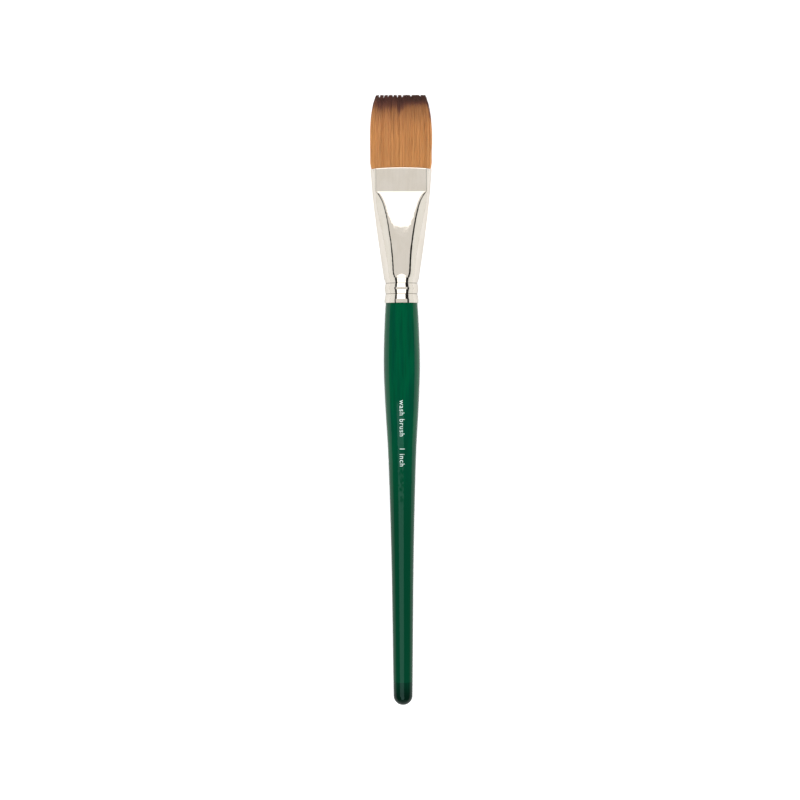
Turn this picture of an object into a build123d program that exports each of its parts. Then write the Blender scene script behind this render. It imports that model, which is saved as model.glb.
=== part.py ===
"""Flat one-inch wash brush, lying flat side up along the Y axis with its hair towards +Y.

The brush is built about the Y axis with the butt of its handle at Y = 0. Lengths along it are
stations: millimetres from the butt. Each piece is then set down so that the handle's belly touches
Z = 0 and the brush is centred over the origin.
"""
from build123d import *
import os
from math import cos, radians, sin, tan

# ---- driving dimensions, millimetres -------------------------------------------------------------
BRUSH_LENGTH = 251.9

# ferrule: a tube, round and crimped at the handle, pressed flat at the mouth
FERRULE_WALL = 0.4
NECK_START = 166.0
NECK_END = 176.6
LAND_START = 211.9
MOUTH = 221.8
NECK_RADIUS = 7.0
FLARE_RADIUS = 7.3
GROOVE_RADIUS = 6.55
GROOVES = (3.7, 8.1)
BAND_HEIGHT = 1.5
BEAD_CROWN = 0.45
SHOULDER_START = 10.3
MOUTH_HALF_WIDTH = 12.7
MOUTH_HALF_THICKNESS = 3.0
MOUTH_ARCH_RADIUS = 134.0
RIM_BEVEL = (0.28, 0.12)
RIM_ZONE = (2.0, 1.0)
LAND_CUT = 0.02
FLARE_POWER = 1.3
FACET_HEIGHT = 6.95
FACET_HALF_WIDTH = 2.7
FACET_SPREAD = 5.4
FACET_POWER = 1.8
FACET_SWEEP = 2.2
SWEEP_POWER = 14
FACET_CORNER_RADIUS = 1.2
CORNER_POWER = 0.35
SIDE_TILT = radians(32)
SIDE_PULL = 0.62
ROUND_STOPS = (90, 82, 58, 0)
LOFT_STATIONS = (180.0, 184.0, 189.0, 195.0, 201.0, 205.5, 208.8, 210.7)

# handle: turned wood under a coat of lacquer, with a tenon glued into the neck
BELLY_RADIUS = 7.5
HANDLE_PROFILE = [
    (37.0, 4.29), (70.0, 4.80), (94.5, 5.46), (107.0, 5.93), (119.4, 6.66), (131.7, 7.27),
    (140.5, BELLY_RADIUS), (148.3, 7.38), (156.5, 7.10), (167.0, 6.50),
]
BUTT_RADIUS = 3.93
SIDE_LENGTHS = 8
LACQUER = 0.15
DIP_LENGTH = 9.5
TENON_GLUE = 0.2
TENON_START = 167.0
TENON_END = 182.0
TENON_CHAMFER = 0.8

# tuft: (station from the mouth, half width, half thickness), bound at its root and free above the mouth
ROOT_PROFILE = [(-16.0, 9.00, 2.10), (-13.0, 9.00, 2.10), (0.0, 12.20, 2.55)]
FREE_PROFILE = [
    (0.0, 12.20, 2.55), (4.0, 12.55, 2.75), (12.0, 12.75, 2.85), (17.5, 12.60, 2.60),
    (22.5, 12.10, 2.20), (26.5, 11.35, 1.80), (BRUSH_LENGTH - MOUTH, 10.10, 1.35),
]
TUFT_CORNER = 0.9
FLEX_LINES = [(4.0, 3.15), (12.0, 3.25), (20.0, 2.85)]
FLEX_GAP = 0.2
ROOT_GLUE_START = 199.5
ROOT_GLUE_END = 209.5
THREAD_TURNS = 3
THREAD_START = 206.4
THREAD_PITCH = 0.7
THREAD_SIZE = 0.55

REACH = 60.0


def slab(low, high):
    """A block that holds everything between two stations."""
    return Pos(0, (low + high) / 2, 0) * Box(REACH, high - low, REACH)


def across(station):
    """The plane across the brush at a station, with its x along X and its y along Z."""
    return Plane.XZ.offset(-station)


# ---- ferrule ---------------------------------------------------------------------------------
def flare(station):
    """Half width, half thickness, facet half width and corner radius of the pressed part."""
    along = (station - NECK_END) / (MOUTH - NECK_END)
    half_width = FLARE_RADIUS + (MOUTH_HALF_WIDTH - FLARE_RADIUS) * (1 - (1 - along) ** FLARE_POWER)
    pressed = min(1, (station - NECK_END) / (LAND_START - NECK_END))
    half_thickness = FACET_HEIGHT + (MOUTH_HALF_THICKNESS - FACET_HEIGHT) * pressed ** 2
    facet = FACET_HALF_WIDTH + FACET_SPREAD * pressed ** FACET_POWER + FACET_SWEEP * pressed ** SWEEP_POWER
    corner = FACET_CORNER_RADIUS + (FLARE_RADIUS - FACET_CORNER_RADIUS) * (1 - pressed) ** CORNER_POWER
    return half_width, half_thickness, facet, corner


def closed_section(station, quadrant):
    """A face across the brush from the edges of its upper right quadrant."""
    right = quadrant + [mirror(edge, about=Plane.XZ) for edge in quadrant]
    outline = right + [mirror(edge, about=Plane.YZ) for edge in right]
    return across(station) * make_face(outline)


def pressed_section(station, inset=0.0, proud=0.0):
    """A flat facet above and below, a soft corner beside it, and a rounded side."""
    half_width, half_thickness, facet, corner = flare(station)
    half_width -= inset
    half_thickness += proud - inset
    facet -= inset * tan(SIDE_TILT / 2)
    corner -= inset
    reach = corner * tan(SIDE_TILT / 2)
    flat_end = (facet - reach, half_thickness)
    side_start = (facet + reach * cos(SIDE_TILT), half_thickness - reach * sin(SIDE_TILT))
    knee = half_thickness - (half_width - facet) * tan(SIDE_TILT)
    first_pull = (
        side_start[0] + SIDE_PULL * (half_width - side_start[0]),
        side_start[1] + SIDE_PULL * (knee - side_start[1]),
    )
    top = Line((0, half_thickness), flat_end)
    bend = TangentArc(flat_end, side_start, tangent=(1, 0))
    side = Bezier(side_start, first_pull, (half_width, (1 - SIDE_PULL) * knee), (half_width, 0))
    return closed_section(station, [top, bend, side])


def round_section(station, inset=0.0):
    """A circle in the same number of arcs as a pressed section, so that the two can be lofted."""
    radius = FLARE_RADIUS - inset
    spans = zip(ROUND_STOPS, ROUND_STOPS[1:])
    arcs = [CenterArc((0, 0), radius, start, end - start) for start, end in spans]
    return closed_section(station, arcs)


def neck(inset=0.0, start=NECK_START):
    """The crimped neck: a band, two rolled grooves with a bead between them, and the flare's start."""
    low, high = GROOVES
    bead = (low + high) / 2
    top = NECK_END - NECK_START
    points = [
        (NECK_RADIUS, 0), (NECK_RADIUS, BAND_HEIGHT), (GROOVE_RADIUS, low),
        (NECK_RADIUS, bead - BEAD_CROWN), (NECK_RADIUS, bead + BEAD_CROWN),
        (GROOVE_RADIUS, high), (FLARE_RADIUS, SHOULDER_START), (FLARE_RADIUS, top),
    ]
    sides = [(radius - inset, NECK_START + up) for radius, up in points]
    outline = Polyline((0, NECK_START), *sides, (0, NECK_END), close=True)
    return revolve(make_face(outline), Axis.Y) & slab(start, NECK_END)


def mouth_waste():
    """What is trimmed off the mouth to leave it a shallow arc with a bevelled rim."""
    back, drop = RIM_BEVEL
    radius = MOUTH_ARCH_RADIUS
    high, low = MOUTH_HALF_THICKNESS + drop, MOUTH_HALF_THICKNESS - drop
    rim = [(radius - 2 * back, high), (radius, low), (radius, -low), (radius - 2 * back, -high)]
    disc = revolve(Plane.XZ * make_face(Polyline((0, high), *rim, (0, -high), close=True)), Axis.Z)
    return slab(MOUTH - RIM_ZONE[0], MOUTH + RIM_ZONE[1]) - Pos(0, MOUTH - radius, 0) * disc


def ferrule_body(inset=0.0):
    """The ferrule filled solid, or the space inside it when inset by the wall."""
    sections = [round_section(NECK_END, inset)]
    sections += [pressed_section(station, inset) for station in LOFT_STATIONS]
    sections += [pressed_section(LAND_START, inset, LAND_CUT)]
    pressed = loft(sections)
    land = loft([pressed_section(station, inset, LAND_CUT) for station in (LAND_START, MOUTH)])
    land &= Box(REACH, 2 * BRUSH_LENGTH, 2 * (MOUTH_HALF_THICKNESS - inset))
    return neck(inset) + pressed + land


# ---- handle ----------------------------------------------------------------------------------
def handle_body(inset=0.0):
    """The turned handle up to the neck of the ferrule, or its core when inset by the lacquer."""
    shoulder = (BUTT_RADIUS - inset, BUTT_RADIUS)
    side_points = [(radius - inset, station) for station, radius in HANDLE_PROFILE]
    side = Spline(shoulder, *side_points)
    tip = (0, inset)
    outline = [CenterArc((0, BUTT_RADIUS), BUTT_RADIUS - inset, -90, 90)]
    outline += [side.trim(i / SIDE_LENGTHS, (i + 1) / SIDE_LENGTHS) for i in range(SIDE_LENGTHS)]
    outline += [Line(side_points[-1], (0, TENON_START)), Line((0, TENON_START), tip)]
    return revolve(make_face(outline), Axis.Y)


def tenon():
    """The bare end of the handle that fills the neck, a glue line smaller than its bore."""
    in_neck = neck(FERRULE_WALL + TENON_GLUE, TENON_START)
    end = Cylinder(NECK_RADIUS - FERRULE_WALL - TENON_GLUE, TENON_END - NECK_END, rotation=(90, 0, 0))
    end = chamfer(end.edges().sort_by(Axis.Y)[-1], TENON_CHAMFER)
    return in_neck + Pos(0, (NECK_END + TENON_END) / 2, 0) * end


# ---- tuft ------------------------------------------------------------------------------------
def tuft_section(station, half_width, half_thickness, grow=0.0):
    """A rounded bar of hair across the brush."""
    height = 2 * (half_thickness + grow)
    bar = RectangleRounded(2 * (half_width + grow), height, TUFT_CORNER * height / 2)
    return across(station) * bar


def tuft_body():
    """The whole bundle of hair, from its bound root in the ferrule to its trimmed tip."""
    root = loft([tuft_section(MOUTH + up, wide, thick) for up, wide, thick in ROOT_PROFILE], ruled=True)
    free = loft([tuft_section(MOUTH + up, wide, thick) for up, wide, thick in FREE_PROFILE])
    return root + free


def knuckle(line, gap=0.0):
    """The cylinder across the tuft that one length of hair turns on."""
    up, radius = FLEX_LINES[line]
    return Pos(0, MOUTH + up, 0) * Cylinder(radius - gap, REACH, rotation=(0, 90, 0))


def tuft_length(tuft, line):
    """The hair from one flex line to the next, rounded below and hollowed above."""
    low = MOUTH + FLEX_LINES[line][0]
    last = line + 1 == len(FLEX_LINES)
    high = BRUSH_LENGTH if last else MOUTH + FLEX_LINES[line + 1][0]
    foot = slab(MOUTH, low) & knuckle(line, FLEX_GAP)
    piece = tuft & (slab(low, high) + foot)
    return piece if last else piece - knuckle(line + 1)


def binding():
    """Turns of thread round the root of the hair."""
    wide, thick = ROOT_PROFILE[0][1:]
    turns = []
    for turn in range(THREAD_TURNS):
        top = THREAD_START + turn * THREAD_PITCH + THREAD_SIZE
        loop = tuft_section(top, wide, thick, THREAD_SIZE) - tuft_section(top, wide, thick)
        turns += extrude(loop, THREAD_SIZE).solids()
    return turns


# ---- pieces ----------------------------------------------------------------------------------
def build():
    """Every piece of the brush by name, about the Y axis with the butt at Y = 0."""
    outer = ferrule_body()
    cavity = ferrule_body(FERRULE_WALL)
    handle = handle_body()
    core = handle_body(LACQUER)
    coat = handle - core
    tenon_piece = tenon()
    tuft = tuft_body()
    held_hair = tuft & cavity
    first_line = MOUTH + FLEX_LINES[0][0]
    free_root = (tuft & slab(MOUTH, first_line)) - knuckle(0)
    turns = binding()
    root_glue = (cavity & slab(ROOT_GLUE_START, ROOT_GLUE_END)) - held_hair
    for turn in turns:
        root_glue -= turn

    pieces = {
        "ferrule": outer - cavity - mouth_waste(),
        "handle_core": core + tenon_piece,
        "handle_lacquer": coat & slab(DIP_LENGTH, TENON_START),
        "butt_dip": coat & slab(0, DIP_LENGTH),
        "tenon_glue": (cavity & slab(TENON_START, NECK_END)) - tenon_piece,
        "root_glue": root_glue,
        "binding_thread": Compound(children=turns),
        "tuft_root": held_hair + free_root,
    }
    for line, name in enumerate(("tuft_lower", "tuft_middle", "tuft_tip")):
        pieces[name] = tuft_length(tuft, line)
    return pieces


os.makedirs("parts", exist_ok=True)
resting_place = Pos(0, -BRUSH_LENGTH / 2, BELLY_RADIUS)
for name, shape in build().items():
    export_step(resting_place * shape, f"parts/{name}.step")
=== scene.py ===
"""Looks of the flat wash brush: materials on its CAD pieces, its hair, its print, and the studio."""
import math

import bmesh
import bpy
import numpy as np
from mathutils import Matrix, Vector
from mathutils.bvhtree import BVHTree


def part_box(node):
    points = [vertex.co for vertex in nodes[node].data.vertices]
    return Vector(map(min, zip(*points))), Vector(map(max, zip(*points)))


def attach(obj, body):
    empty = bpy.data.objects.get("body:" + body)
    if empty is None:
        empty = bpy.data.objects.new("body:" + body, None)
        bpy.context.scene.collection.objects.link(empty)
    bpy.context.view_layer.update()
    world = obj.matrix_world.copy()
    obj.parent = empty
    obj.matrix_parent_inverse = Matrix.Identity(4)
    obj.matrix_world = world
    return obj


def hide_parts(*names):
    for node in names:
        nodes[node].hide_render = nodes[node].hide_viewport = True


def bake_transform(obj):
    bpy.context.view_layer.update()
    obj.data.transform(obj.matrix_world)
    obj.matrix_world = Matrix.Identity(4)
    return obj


MM = 0.001

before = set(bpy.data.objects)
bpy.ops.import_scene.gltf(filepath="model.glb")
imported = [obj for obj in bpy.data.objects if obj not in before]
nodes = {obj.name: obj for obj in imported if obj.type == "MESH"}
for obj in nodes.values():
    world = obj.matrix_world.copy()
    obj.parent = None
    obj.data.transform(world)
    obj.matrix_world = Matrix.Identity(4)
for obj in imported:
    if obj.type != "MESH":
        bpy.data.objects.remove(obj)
bpy.context.view_layer.update()

AXIS_Z = sum(corner.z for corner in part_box("butt_dip")) / 2
NECK_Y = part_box("ferrule")[0].y
MOUTH_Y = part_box("ferrule")[1].y
TUFT_LENGTH = (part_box("tuft_tip")[1].y - MOUTH_Y) / MM


# ---- materials -------------------------------------------------------------------------------
class Finish:
    """A Principled material, with short names for the nodes that vary it."""

    def __init__(self, name, **sockets):
        self.material = bpy.data.materials.new(name)
        self.material.use_nodes = True
        self.tree = self.material.node_tree
        self.surface = self.tree.nodes["Principled BSDF"]
        self.coordinates = self.tree.nodes.new("ShaderNodeTexCoord").outputs["Object"]
        for socket, value in sockets.items():
            self.surface.inputs[socket.replace("_", " ")].default_value = value

    def feed(self, socket, source):
        """Joins a node's output to an input, or sets the input to a plain value."""
        if isinstance(source, bpy.types.NodeSocket):
            self.tree.links.new(source, socket)
        else:
            socket.default_value = source

    def attribute(self, name):
        node = self.tree.nodes.new("ShaderNodeAttribute")
        node.attribute_name = name
        return node.outputs["Fac"]

    def stretched(self, scale, source=None):
        """Coordinates in metres, each axis scaled."""
        node = self.tree.nodes.new("ShaderNodeMapping")
        node.inputs["Scale"].default_value = scale
        self.feed(node.inputs["Vector"], source or self.coordinates)
        return node.outputs["Vector"]

    def noise(self, scale, detail=3.0, roughness=0.5, distortion=0.0, source=None):
        node = self.tree.nodes.new("ShaderNodeTexNoise")
        node.inputs["Scale"].default_value = 1.0
        node.inputs["Detail"].default_value = detail
        node.inputs["Roughness"].default_value = roughness
        node.inputs["Distortion"].default_value = distortion
        self.feed(node.inputs["Vector"], self.stretched(scale, source))
        return node.outputs["Fac"]

    def ramp(self, source, *stops):
        """Colours or grey levels at positions from 0 to 1."""
        node = self.tree.nodes.new("ShaderNodeValToRGB")
        elements = node.color_ramp.elements
        while len(elements) < len(stops):
            elements.new(1.0)
        for element, (position, colour) in zip(elements, stops):
            element.position = position
            element.color = (*colour, 1) if isinstance(colour, tuple) else (colour,) * 3 + (1,)
        self.feed(node.inputs["Fac"], source)
        return node.outputs["Color"]

    def mixed(self, factor, first, second, blend="MIX"):
        node = self.tree.nodes.new("ShaderNodeMix")
        node.data_type = "RGBA"
        node.blend_type = blend
        self.feed(node.inputs["Factor"], factor)
        self.feed(node.inputs["A"], first if isinstance(first, bpy.types.NodeSocket) else (*first, 1))
        self.feed(node.inputs["B"], second if isinstance(second, bpy.types.NodeSocket) else (*second, 1))
        return node.outputs["Result"]

    def ranged(self, source, low, high, new_low=0.0, new_high=1.0, smooth=True):
        node = self.tree.nodes.new("ShaderNodeMapRange")
        node.interpolation_type = "SMOOTHSTEP" if smooth else "LINEAR"
        for name, value in (("From Min", low), ("From Max", high), ("To Min", new_low), ("To Max", new_high)):
            node.inputs[name].default_value = value
        self.feed(node.inputs["Value"], source)
        return node.outputs["Result"]

    def axis(self, letter):
        node = self.tree.nodes.new("ShaderNodeSeparateXYZ")
        self.feed(node.inputs[0], self.coordinates)
        return node.outputs[letter]

    def bump(self, *layers):
        """Bumps stacked on one another: (height source, depth in metres)."""
        normal = None
        for source, depth in layers:
            node = self.tree.nodes.new("ShaderNodeBump")
            node.inputs["Distance"].default_value = depth
            self.feed(node.inputs["Height"], source)
            if normal:
                self.feed(node.inputs["Normal"], normal)
            normal = node.outputs["Normal"]
        self.feed(self.surface.inputs["Normal"], normal)

    def set(self, **sockets):
        for socket, source in sockets.items():
            self.feed(self.surface.inputs[socket.replace("_", " ")], source)


# grooves of the ferrule's neck, millimetres from its start, and the painted shade that darkens them
GROOVES = (3.7, 8.1)
GROOVE_SHADE_HALF_WIDTH = 0.12 * MM
GROOVE_SHADE = (0.30, 0.27, 0.23)


def nickel():
    """Bright nickel plate with faint drawing marks, soft press waves, and painted shade in its two grooves.
    """
    finish = Finish("nickel_plate", Metallic=1.0)
    brushed = finish.noise((2600, 90, 2600), detail=4, roughness=0.6)
    cloud = finish.noise((260, 160, 260), detail=3)
    waves = finish.noise((150, 190, 150), detail=2, roughness=0.4)
    tarnish = finish.mixed(finish.ranged(cloud, 0.3, 0.75), (0.87, 0.815, 0.735), (0.83, 0.77, 0.68))
    colour = finish.mixed(finish.ranged(brushed, 0.35, 0.7, 0.0, 0.12), tarnish, (0.72, 0.67, 0.60))
    # painted shade: a thin dark band laid along each groove
    for groove in GROOVES:
        inside = finish.tree.nodes.new("ShaderNodeMath")
        inside.operation = "COMPARE"
        inside.inputs[1].default_value = NECK_Y + groove * MM
        inside.inputs[2].default_value = GROOVE_SHADE_HALF_WIDTH
        finish.feed(inside.inputs[0], finish.axis("Y"))
        colour = finish.mixed(inside.outputs[0], colour, GROOVE_SHADE)
    finish.set(Base_Color=colour, Roughness=finish.ranged(brushed, 0.3, 0.8, 0.05, 0.10))
    finish.bump((waves, 0.00006), (brushed, 0.0000012))
    return finish.material


def lacquer(name, light, dark, butt, fade):
    """Glossy lacquer over wood: it darkens towards the butt and shows faint streaks of the grain."""
    finish = Finish(name, IOR=1.5, Specular_IOR_Level=0.22)
    grain = finish.noise((1400, 45, 1400), detail=5, roughness=0.62, distortion=0.4)
    mottle = finish.noise((420, 40, 420), detail=3)
    peel = finish.noise((420, 300, 420), detail=2)
    clouded = finish.mixed(finish.ranged(mottle, 0.35, 0.65), light, dark)
    body = finish.mixed(finish.ranged(finish.axis("Y"), fade[0] * MM, fade[1] * MM), clouded, butt)
    streaked = finish.mixed(finish.ranged(grain, 0.42, 0.66, 0.0, 0.5), body, butt)
    finish.set(Base_Color=streaked, Roughness=finish.ranged(mottle, 0.3, 0.7, 0.035, 0.075))
    finish.bump((peel, 0.000012), (grain, 0.0000015))
    return finish.material


def bare_wood():
    """Sanded hardwood with its grain along the handle."""
    finish = Finish("bare_wood", IOR=1.45)
    rings = finish.noise((900, 14, 260), detail=5, roughness=0.6, distortion=1.2)
    pores = finish.noise((5200, 240, 5200), detail=3)
    grain = finish.ramp(
        rings,
        (0.30, (0.50, 0.30, 0.145)),
        (0.48, (0.66, 0.45, 0.25)),
        (0.62, (0.74, 0.54, 0.33)),
        (0.78, (0.58, 0.37, 0.19)),
    )
    speckled = finish.mixed(finish.ranged(pores, 0.60, 0.72, 0.0, 0.5), grain, (0.33, 0.19, 0.09))
    finish.set(Base_Color=speckled, Roughness=finish.ranged(rings, 0.3, 0.7, 0.55, 0.75))
    finish.bump((rings, 0.00003), (pores, 0.00002))
    return finish.material


def cured_glue(name, thin, thick, roughness):
    """Set glue: amber, cloudy, with small bubbles."""
    finish = Finish(name, IOR=1.5)
    cloud = finish.noise((420, 420, 420), detail=4)
    bubbles = finish.noise((2400, 2400, 2400), detail=1)
    colour = finish.mixed(finish.ranged(cloud, 0.35, 0.65), thin, thick)
    pale = finish.mixed(finish.ranged(bubbles, 0.62, 0.72, 0.0, 0.6), colour, (0.86, 0.80, 0.66))
    finish.set(Base_Color=pale, Roughness=finish.ranged(cloud, 0.3, 0.7, roughness, roughness + 0.2))
    finish.bump((cloud, 0.00008), (bubbles, 0.00003))
    return finish.material


def waxed_thread():
    """Two-ply thread, its twist showing as slanted ridges along each turn."""
    finish = Finish("waxed_thread", Sheen_Weight=0.25)
    wave = finish.tree.nodes.new("ShaderNodeTexWave")
    wave.bands_direction = "DIAGONAL"
    wave.inputs["Scale"].default_value = 1.0
    wave.inputs["Distortion"].default_value = 1.5
    wave.inputs["Detail Scale"].default_value = 2.0
    finish.feed(wave.inputs["Vector"], finish.stretched((520, 900, 520)))
    fibre = finish.noise((5200, 2600, 5200), detail=3)
    ply = finish.mixed(wave.outputs["Fac"], (0.48, 0.43, 0.34), (0.82, 0.78, 0.68))
    finish.set(Base_Color=finish.mixed(finish.ranged(fibre, 0.4, 0.7, 0, 0.4), ply, (0.60, 0.54, 0.43)),
               Roughness=finish.ranged(fibre, 0.3, 0.7, 0.5, 0.75))
    finish.bump((wave.outputs["Fac"], 0.00008), (fibre, 0.00002))
    return finish.material


def filament():
    """Golden synthetic hair that turns brown as it rises, with the last few millimetres dyed dark and painted
    shade darkening the outermost strands further down.
    """
    finish = Finish("synthetic_hair", IOR=1.5)
    rise = finish.attribute("rise")
    tone = finish.attribute("tone")
    warmth = finish.attribute("warmth")
    dye_and_edge_shade = finish.attribute("dye_and_edge_shade")
    body = finish.ramp(
        rise,
        (0.0, (0.82, 0.385, 0.130)),
        (0.45, (0.82, 0.375, 0.128)),
        (0.62, (0.76, 0.335, 0.122)),
        (0.76, (0.63, 0.268, 0.108)),
        (0.90, (0.48, 0.195, 0.090)),
        (1.0, (0.42, 0.160, 0.082)),
    )
    golden = finish.mixed(finish.ranged(warmth, 0.0, 1.0, 0.0, 0.30), body, (0.84, 0.425, 0.115))
    shaded = finish.mixed(finish.ranged(tone, 0.0, -1.0, 0.0, 0.27), golden, (0.40, 0.155, 0.052))
    lifted = finish.mixed(finish.ranged(tone, 0.0, 1.0, 0.0, 0.24), shaded, (0.95, 0.54, 0.24))
    brown = finish.mixed(finish.ranged(dye_and_edge_shade, 0.0, 0.6), lifted, (0.29, 0.105, 0.066))
    tip_tint = finish.mixed(warmth, (0.185, 0.062, 0.050), (0.130, 0.070, 0.044))
    dark = finish.mixed(finish.ranged(dye_and_edge_shade, 0.45, 1.0), brown, tip_tint)
    finish.set(Base_Color=dark, Roughness=finish.ranged(tone, -1.0, 1.0, 0.55, 0.42))
    return finish.material


def ink():
    """Pale screen-printed ink, a little uneven."""
    finish = Finish("pale_ink", IOR=1.45)
    speckle = finish.noise((2200, 2200, 2200), detail=3)
    coat = finish.noise((500, 300, 500), detail=2)
    film = finish.mixed(finish.ranged(coat, 0.3, 0.7), (0.80, 0.90, 0.87), (0.66, 0.82, 0.77))
    finish.set(Base_Color=finish.mixed(finish.ranged(speckle, 0.60, 0.75, 0, 0.35), film, (0.35, 0.58, 0.50)),
               Roughness=finish.ranged(speckle, 0.3, 0.7, 0.28, 0.42))
    finish.bump((speckle, 0.000004))
    return finish.material


# lacquer colours: fresh, mottled, and deepest towards the butt
GREENS = (0.0, 0.088, 0.035), (0.0, 0.066, 0.033), (0.001, 0.050, 0.022)
DIP_GREENS = (0.001, 0.040, 0.019), (0.001, 0.030, 0.015), (0.001, 0.013, 0.007)
# where each coat starts and ends its darkening, millimetres along Y
HANDLE_FADE = (-5, -55)
DIP_FADE = (-116, -123)


def paint(name, material):
    """Gives a CAD piece its finished material."""
    for slot in nodes[name].material_slots:
        slot.material = material


paint("ferrule", nickel())
paint("handle_lacquer", lacquer("green_lacquer", *GREENS, fade=HANDLE_FADE))
paint("butt_dip", lacquer("dark_lacquer", *DIP_GREENS, fade=DIP_FADE))
paint("handle_core", bare_wood())
paint("tenon_glue", cured_glue("wood_glue", (0.74, 0.60, 0.34), (0.58, 0.43, 0.20), 0.40))
paint("root_glue", cured_glue("root_epoxy", (0.66, 0.46, 0.18), (0.46, 0.29, 0.09), 0.16))
paint("binding_thread", waxed_thread())
hair_material = filament()
ink_material = ink()


# ---- hair ------------------------------------------------------------------------------------
# the bundle's outline: millimetres above the mouth, half width, half thickness
ROOT_DEPTH = 15.8
OUTLINE = [
    (-16.0, 9.00, 2.10), (-13.0, 9.00, 2.10), (-6.0, 10.70, 2.33), (-0.6, 12.15, 2.50),
    (0.8, 12.68, 2.78), (2.5, 12.72, 2.84), (7.0, 12.74, 2.86),
    (12.0, 12.75, 2.85), (17.5, 12.72, 2.60), (22.5, 12.32, 2.20), (26.5, 11.62, 1.80), (30.1, 10.40, 1.35),
]
WIDEST, THICKEST = 12.75, 2.86
# strands: how many, their radii in millimetres, and the sides of each one's tube
STRANDS = 3300
STRAND_RADIUS = 0.105
TIP_RADIUS = 0.034
SIDES = 3
ROW_RATIO = 0.866
# heights where the hair is cut into pieces, and a third height past the last cut
CUTS = (8.0, 16.0, 24.0)
LOW_RINGS = np.array([-ROOT_DEPTH, -8.0, 0.0, 2.0, 4.0, 6.0, CUTS[0]])
MID_RINGS = np.linspace(CUTS[0], CUTS[1], 5)
TOP_STEPS = np.array([0, 0.14, 0.28, 0.42, 0.56, 0.70, 0.83, 0.93, 1.0])
random = np.random.default_rng(31)


def smoothstep(value):
    value = np.clip(value, 0, 1)
    return value * value * (3 - 2 * value)


def outline(heights, column):
    """A smooth curve through one column of the outline, read at the given heights."""
    table = np.array(OUTLINE)
    at, values = table[:, 0], table[:, column]
    slopes = np.gradient(values, at)
    i = np.clip(np.searchsorted(at, heights) - 1, 0, len(at) - 2)
    span = at[i + 1] - at[i]
    t = (heights - at[i]) / span
    rest = 1 - t
    return (values[i] * (1 + 2 * t) * rest ** 2 + values[i + 1] * (3 - 2 * t) * t ** 2
            + span * (slopes[i] * t * rest ** 2 - slopes[i + 1] * rest * t ** 2))


def scattered():
    """Strand places across the widest section, on a jittered honeycomb inside the rounded bar."""
    wide, thick = WIDEST - STRAND_RADIUS, THICKEST - STRAND_RADIUS
    corner = 0.9 * thick
    area = 4 * wide * thick - (4 - math.pi) * corner ** 2
    pitch = math.sqrt(area / STRANDS / ROW_RATIO)
    xs = np.arange(-wide, wide, pitch)
    zs = np.arange(-thick + pitch / 4, thick, pitch * ROW_RATIO)
    x, z = np.meshgrid(xs, zs)
    x = x + (np.arange(len(zs))[:, None] % 2) * pitch / 2
    x = (x + random.uniform(-0.3, 0.3, x.shape) * pitch).ravel()
    z = (z + random.uniform(-0.25, 0.25, z.shape) * pitch).ravel()
    outside = np.maximum(np.abs(x) - wide + corner, 0) ** 2 + np.maximum(np.abs(z) - thick + corner, 0) ** 2
    inside = (outside <= corner ** 2) & (np.abs(x) <= wide) & (np.abs(z) <= thick)
    return x[inside], z[inside]


class Bundle:
    """Every strand's place, length, wander, lock and colour."""

    def __init__(self):
        self.x, self.z = scattered()
        self.count = len(self.x)
        narrow = random.uniform(1.9, 2.5, 6)
        wide = random.uniform(2.6, 4.6, 6)
        edges = -WIDEST + np.cumsum(np.concatenate([narrow, wide]))
        edges = edges[edges < WIDEST - 0.8]
        centres = (np.concatenate([[-WIDEST], edges]) + np.concatenate([edges, [WIDEST]])) / 2
        half = np.diff(np.concatenate([[-WIDEST], edges, [WIDEST]])) / 2
        locks = len(centres)
        shifted = self.x + 0.45 * np.sin(1.7 * self.z + 0.5 * self.x)
        lock = np.searchsorted(edges, shifted)
        gather = random.uniform(0.05, 0.16, locks) * np.minimum(1.0, 1.1 / half) ** 1.5
        self.pull = (centres[lock] - self.x) * gather[lock]
        self.wander = random.normal(0, 0.10, self.count)
        self.phase = random.uniform(0, 2 * math.pi, (2, self.count))
        self.wave = random.uniform(16, 42, self.count)
        spread = np.abs(centres[lock] - self.x) / half[lock]
        notch = random.uniform(0.4, 1.2, locks)[lock] * smoothstep((spread - 0.72) / 0.28)
        self.tip = TUFT_LENGTH - np.minimum(np.abs(random.normal(0, 0.18, self.count)) + notch, 1.6)
        self.tone = np.clip(random.normal(0, 0.34, self.count) + random.normal(0, 0.14, locks)[lock], -1, 1)
        self.streak = random.uniform(0, 2 * math.pi, self.count)
        self.warmth = np.clip(random.random(self.count) * 0.5 + random.random(locks)[lock] * 0.5, 0, 1)
        right = smoothstep((self.x + 1.0) / 4.0)
        ragged = random.normal(0, 0.6, locks)[lock] + random.normal(0, 0.6, self.count)
        self.dye_and_shade_start = 22.8 + 2.5 * right + ragged * (1.0 - 0.5 * right)
        # painted shade: the outermost strands at both sides of the tuft start dark much further down and
        # darken over a longer run
        edge_shade = smoothstep((np.abs(self.x + 0.3) - 0.95 * WIDEST) / 0.5)
        self.dye_and_shade_start -= 8.0 * edge_shade
        self.dye_and_shade_length = 5.6 - 2.7 * right + 6.0 * edge_shade

    def place(self, rise):
        """Points of every strand at its own heights, an array of strands by heights."""
        pull = self.pull[:, None] * smoothstep((rise - 9.0) / 21.0)
        swing = smoothstep(rise / 12.0)
        turn = 2 * math.pi * rise / self.wave[:, None]
        x = self.x[:, None] + pull + self.wander[:, None] * swing * np.sin(turn + self.phase[0][:, None])
        z = self.z[:, None] + 0.6 * self.wander[:, None] * swing * np.sin(turn + self.phase[1][:, None])
        x = x * outline(rise, 1) / WIDEST
        z = z * outline(rise, 2) / THICKEST
        return x, z

    def radius(self, rise):
        bound = 0.8 + 0.2 * smoothstep((rise + 12.0) / 12.0)
        taper = smoothstep((rise - 15.0) / (self.tip[:, None] - 15.0))
        return STRAND_RADIUS * bound + (TIP_RADIUS - STRAND_RADIUS) * taper


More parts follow.
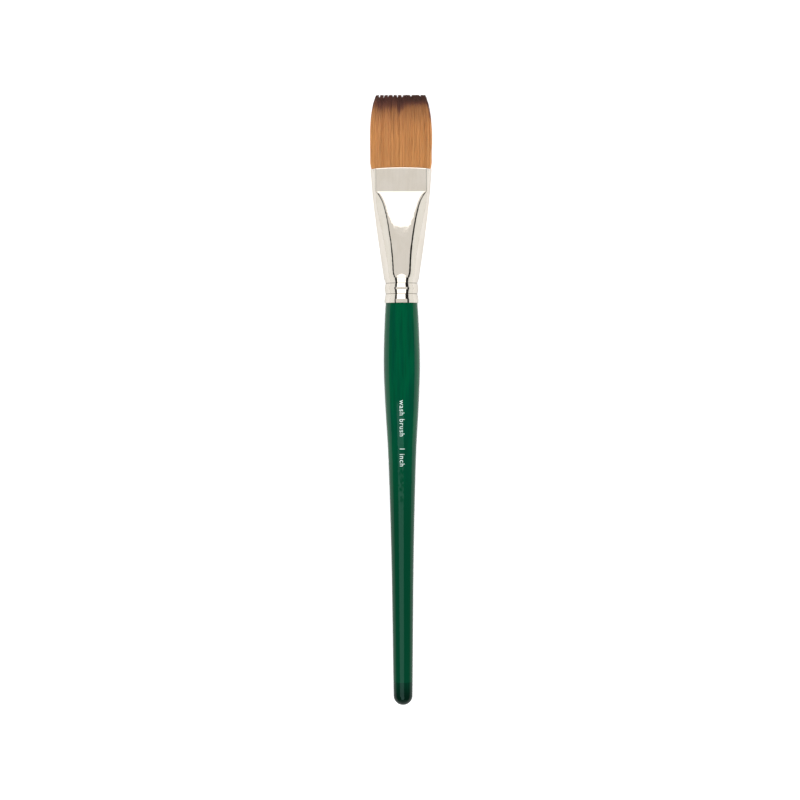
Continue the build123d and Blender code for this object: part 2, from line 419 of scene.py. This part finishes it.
def hair_piece(name, bundle, rise):
    """Three-sided tubes along every strand, with a strip of the bake layout for each."""
    strands, rings = rise.shape
    x, z = bundle.place(rise)
    radius = bundle.radius(rise)
    angle = bundle.phase[0][:, None] + 2 * math.pi * np.arange(SIDES) / SIDES
    points = np.empty((strands, rings, SIDES, 3))
    points[..., 0] = x[:, :, None] + radius[:, :, None] * np.cos(angle)[:, None, :]
    points[..., 1] = rise[:, :, None]
    points[..., 2] = z[:, :, None] + radius[:, :, None] * np.sin(angle)[:, None, :]
    points = points * MM + np.array([0, MOUTH_Y, AXIS_Z])

    first = np.arange(strands)[:, None, None] * rings * SIDES + np.arange(rings - 1)[:, None] * SIDES
    side, after = np.arange(SIDES), (np.arange(SIDES) + 1) % SIDES
    quads = np.stack([first + side, first + SIDES + side, first + SIDES + after, first + after], -1)
    quads = quads.reshape(-1, 4)

    mesh = bpy.data.meshes.new(name)
    mesh.from_pydata(points.reshape(-1, 3).tolist(), [], quads.tolist())
    mesh.polygons.foreach_set("use_smooth", np.ones(len(quads), bool))

    columns = math.ceil(math.sqrt(strands))
    cell = 1 / columns
    strand = np.arange(strands)
    corner = np.stack([strand % columns, strand // columns], -1) * cell
    across = np.stack([side, side, side + 1, side + 1], -1) / SIDES * 0.7 + 0.15
    up = np.arange(rings) / (rings - 1) * 0.8 + 0.1
    uv = np.empty((strands, rings - 1, SIDES, 4, 2))
    uv[..., 0] = corner[:, 0, None, None, None] + across[None, None] * cell
    low, high = up[:-1], up[1:]
    uv[..., 1] = corner[:, 1, None, None, None] + np.stack([low, high, high, low], -1)[None, :, None] * cell
    layer = mesh.uv_layers.new(name="OFBake")
    layer.data.foreach_set("uv", uv.ravel())

    # dyed tips, with the painted edge shade on the outermost strands
    dye_and_edge_shade = (rise - bundle.dye_and_shade_start[:, None]) / bundle.dye_and_shade_length[:, None]
    phase = bundle.streak[:, None]
    streak = 0.45 * np.sin(rise * 0.42 + phase) * np.sin(rise * 0.23 + 2.3 * phase)
    values = {
        "rise": rise / TUFT_LENGTH,
        "tone": np.clip(bundle.tone[:, None] + streak, -1, 1),
        "warmth": np.repeat(bundle.warmth[:, None], rings, 1),
        "dye_and_edge_shade": np.clip(dye_and_edge_shade, 0, 1),
    }
    for key, value in values.items():
        attribute = mesh.attributes.new(key, "FLOAT", "POINT")
        attribute.data.foreach_set("value", np.repeat(value.ravel(), SIDES))
    mesh.materials.append(hair_material)
    piece = bpy.data.objects.new(name, mesh)
    bpy.context.scene.collection.objects.link(piece)
    return piece


def flex(piece):
    """Bakes the piece's placement into its points."""
    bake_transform(piece)


bundle = Bundle()
every = np.ones((bundle.count, 1))
hair_low = hair_piece("hair_low", bundle, every * LOW_RINGS)
hair_mid = hair_piece("hair_mid", bundle, every * MID_RINGS)
hair_top = hair_piece("hair_top", bundle, CUTS[1] + (bundle.tip[:, None] - CUTS[1]) * TOP_STEPS)
flex(hair_low)
flex(hair_mid)
flex(hair_top)
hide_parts("tuft_root", "tuft_lower")
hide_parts("tuft_middle")
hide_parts("tuft_tip")


# ---- print on the handle ---------------------------------------------------------------------
INK_HEIGHT = 0.03 * MM
INK_CUT = 0.35 * MM
WELD = 0.001 * MM


def surface_of(node):
    """A tree that finds where a ray meets a CAD piece."""
    mesh = nodes[node].data
    return BVHTree.FromPolygons([v.co for v in mesh.vertices], [p.vertices for p in mesh.polygons])


handle_surface = surface_of("handle_lacquer")


def lettering(text, spacing, weight):
    """Flat letters as a mesh, in their own reading plane."""
    curve = bpy.data.curves.new(text, "FONT")
    curve.body = text
    curve.space_character = spacing
    curve.offset = weight
    curve.resolution_u = 6
    holder = bpy.data.objects.new(text, curve)
    bpy.context.scene.collection.objects.link(holder)
    bpy.context.view_layer.update()
    mesh = bpy.data.meshes.new_from_object(holder)
    bpy.data.objects.remove(holder)
    return mesh


def scaled(mesh, height):
    """Scales letters to a height in their own proportions, with their lower left corner at the origin."""
    co = np.array([v.co for v in mesh.vertices])
    low, high = co.min(0), co.max(0)
    co = (co - low) * height / (high[1] - low[1])
    mesh.vertices.foreach_set("co", co.ravel())
    return mesh


def printed(name, mesh, start_y, base_x):
    """Lays letters on the handle, reading from the ferrule to the butt with their tops towards +X."""
    work = bmesh.new()
    work.from_mesh(mesh)
    for vertex in work.verts:
        vertex.co = Vector((base_x + vertex.co.y, start_y - vertex.co.x, 0))
    bmesh.ops.remove_doubles(work, verts=work.verts, dist=WELD)
    low = min(v.co.x for v in work.verts)
    high = max(v.co.x for v in work.verts)
    for i in range(1, math.ceil((high - low) / INK_CUT)):
        everything = work.verts[:] + work.edges[:] + work.faces[:]
        bmesh.ops.bisect_plane(work, geom=everything, plane_co=(low + i * INK_CUT, 0, 0), plane_no=(1, 0, 0))
    for vertex in work.verts:
        above = Vector((vertex.co.x, vertex.co.y, 2 * AXIS_Z + 10 * MM))
        hit, normal, _, _ = handle_surface.ray_cast(above, Vector((0, 0, -1)))
        vertex.co = hit + normal * INK_HEIGHT
    bmesh.ops.recalc_face_normals(work, faces=work.faces)
    if sum(face.normal.z for face in work.faces) < 0:
        bmesh.ops.reverse_faces(work, faces=work.faces)
    made = bpy.data.meshes.new(name)
    work.to_mesh(made)
    work.free()
    made.materials.append(ink_material)
    piece = bpy.data.objects.new(name, made)
    bpy.context.scene.collection.objects.link(piece)
    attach(piece, "brush")
    return piece


PRINT_HEIGHT = 2.0 * MM
PRINT_SPACING = 1.15
PRINT_WEIGHT = 0.004
# piece, words, and where along Y they start, in millimetres
PRINTS = (("print_type", "wash brush", 0.0), ("print_size", "1 inch", -20.0))
for name, words, start in PRINTS:
    letters = scaled(lettering(words, PRINT_SPACING, PRINT_WEIGHT), PRINT_HEIGHT)
    printed(name, letters, start * MM, -PRINT_HEIGHT / 2)


# ---- studio ----------------------------------------------------------------------------------
def plane(name, low, high, z, material):
    """A level rectangle between two corners."""
    mesh = bpy.data.meshes.new(name)
    corners = [(low[0], low[1], z), (high[0], low[1], z), (high[0], high[1], z), (low[0], high[1], z)]
    mesh.from_pydata(corners, [], [(0, 1, 2, 3)])
    mesh.materials.append(material)
    made = bpy.data.objects.new(name, mesh)
    bpy.context.scene.collection.objects.link(made)
    return made


WARM_LAMP = (1.0, 0.985, 0.965)
COOL_LAMP = (0.985, 0.99, 0.975)
GREEN_LAMP = (0.55, 1.0, 0.92)


def lamp(name, centre, size, radiance, pieces, turn=0.0, colour=WARM_LAMP):
    """A soft rectangle of light, facing down unless turned about Y, that only shows on some pieces."""
    light = bpy.data.lights.new(name, "AREA")
    light.shape = "RECTANGLE"
    light.size, light.size_y = size
    light.energy = math.pi * radiance * size[0] * size[1]
    light.color = colour
    made = bpy.data.objects.new(name, light)
    made.location = centre
    made.rotation_euler = (0, turn, 0)
    made.visible_camera = False
    made.visible_diffuse = False
    made.visible_transmission = False
    bpy.context.scene.collection.objects.link(made)
    group = bpy.data.collections.new(f"{name}_on")
    for piece in pieces:
        group.objects.link(piece)
    made.light_linking.receiver_collection = group


def overhead(name, low, high, radiance, pieces, **settings):
    """A lamp over the brush, between two corners."""
    centre = ((low[0] + high[0]) / 2, (low[1] + high[1]) / 2, LAMP_HEIGHT)
    lamp(name, centre, (high[0] - low[0], high[1] - low[1]), radiance, pieces, **settings)


# lamps, in metres and in units of radiance where white is 1
LAMP_HEIGHT = 1.3
SIDE_LAMP_X = 1.5
SIDE_LAMP_LOW = 0.02
SIDE_LAMP_TOPS = {-1: 1.30, 1: 1.14}
SIDE_LAMP_LENGTH = 4.0
SIDE_LAMP_RADIANCE = 0.87
metal = [nodes["ferrule"]]
coated = [nodes["handle_lacquer"], nodes["butt_dip"]]
overhead("metal_soft", (-1.07, 0.05), (1.07, 0.485), 0.765, metal)
overhead("metal_bright", (-0.86, 0.485), (0.70, 2.4), 1.7, metal)
overhead("metal_back", (-0.82, -1.2), (0.82, -0.02), 1.7, metal)
overhead("coat_strip", (-0.95, -0.50), (0.27, -0.15), 1.9, coated, colour=GREEN_LAMP)
overhead("coat_end", (-0.60, -1.6), (0.35, -0.50), 2.3, coated, colour=GREEN_LAMP)
for side, top in SIDE_LAMP_TOPS.items():
    place = (side * SIDE_LAMP_X, 0, (SIDE_LAMP_LOW + top) / 2)
    size = (top - SIDE_LAMP_LOW, SIDE_LAMP_LENGTH)
    lamp(f"metal_side_{side}", place, size, SIDE_LAMP_RADIANCE, metal, side * math.pi / 2, COOL_LAMP)

FLOOR_GREY = 0.88
FLOOR_LIFT = 0.5
floor_material = bpy.data.materials.new("floor")
floor_material.use_nodes = True
floor_tree = floor_material.node_tree
floor_surface = floor_tree.nodes["Principled BSDF"]
floor_surface.inputs["Base Color"].default_value = (FLOOR_GREY, FLOOR_GREY, FLOOR_GREY, 1)
floor_surface.inputs["Roughness"].default_value = 1.0
floor_surface.inputs["Specular IOR Level"].default_value = 0.0
floor_surface.inputs["Emission Color"].default_value = (1, 1, 1, 1)
floor_path = floor_tree.nodes.new("ShaderNodeLightPath")
floor_lift = floor_tree.nodes.new("ShaderNodeMath")
floor_lift.operation = "MULTIPLY"
floor_lift.inputs[1].default_value = FLOOR_LIFT
floor_tree.links.new(floor_path.outputs["Is Camera Ray"], floor_lift.inputs[0])
floor_tree.links.new(floor_lift.outputs[0], floor_surface.inputs["Emission Strength"])
plane("floor", (-6, -6), (6, 6), 0.0, floor_material)


WORLD_LIGHT = 1.15


def sky():
    """White light all round; in reflections, dark overhead and beside, bright low down beyond the ends."""
    world = bpy.data.worlds.new("studio")
    world.use_nodes = True
    tree = world.node_tree
    background = tree.nodes["Background"]
    coordinates = tree.nodes.new("ShaderNodeTexCoord")
    split = tree.nodes.new("ShaderNodeSeparateXYZ")
    tree.links.new(coordinates.outputs["Generated"], split.inputs[0])

    def ranged(source, low, high, new_low, new_high):
        node = tree.nodes.new("ShaderNodeMapRange")
        for name, value in (("From Min", low), ("From Max", high), ("To Min", new_low), ("To Max", new_high)):
            node.inputs[name].default_value = value
        tree.links.new(source, node.inputs["Value"])
        return node.outputs["Result"]

    def blended(factor, first, second):
        node = tree.nodes.new("ShaderNodeMix")
        tree.links.new(factor, node.inputs["Factor"])
        for socket, source in ((node.inputs["A"], first), (node.inputs["B"], second)):
            if isinstance(source, float):
                socket.default_value = source
            else:
                tree.links.new(source, socket)
        return node.outputs["Result"]

    away = tree.nodes.new("ShaderNodeMath")
    away.operation = "ABSOLUTE"
    tree.links.new(split.outputs["Y"], away.inputs[0])
    beside = ranged(split.outputs["Z"], 0.38, 0.44, 0.06, 0.02)
    beyond = ranged(split.outputs["Z"], 0.50, 0.56, 0.48, 0.02)
    mirrored = blended(ranged(away.outputs[0], 0.74, 0.84, 0.0, 1.0), beside, beyond)
    path = tree.nodes.new("ShaderNodeLightPath")
    strength = blended(path.outputs["Is Glossy Ray"], WORLD_LIGHT, mirrored)
    tree.links.new(strength, background.inputs["Strength"])
    background.inputs["Color"].default_value = (1, 1, 1, 1)
    world.cycles.sampling_method = "NONE"
    bpy.context.scene.world = world


sky()
bpy.context.scene.view_settings.view_transform = "Standard"

FRAME_WIDTH = 330.4 * MM
CAMERA_HEIGHT = 1.3
SENSOR_WIDTH = 36.0
LEAN = math.radians(-0.22)
SIDE_SHIFT = -0.8 * MM
camera = bpy.data.objects.new("camera", bpy.data.cameras.new("camera"))
camera.data.sensor_width = SENSOR_WIDTH
camera.data.lens = SENSOR_WIDTH * CAMERA_HEIGHT / FRAME_WIDTH
camera.data.clip_start = 0.01
camera.data.clip_end = 50.0
camera.location = (SIDE_SHIFT, 0, AXIS_Z + CAMERA_HEIGHT)
camera.rotation_euler = (0, 0, LEAN)
bpy.context.scene.collection.objects.link(camera)
bpy.context.scene.camera = camera

bpy.context.view_layer.update()
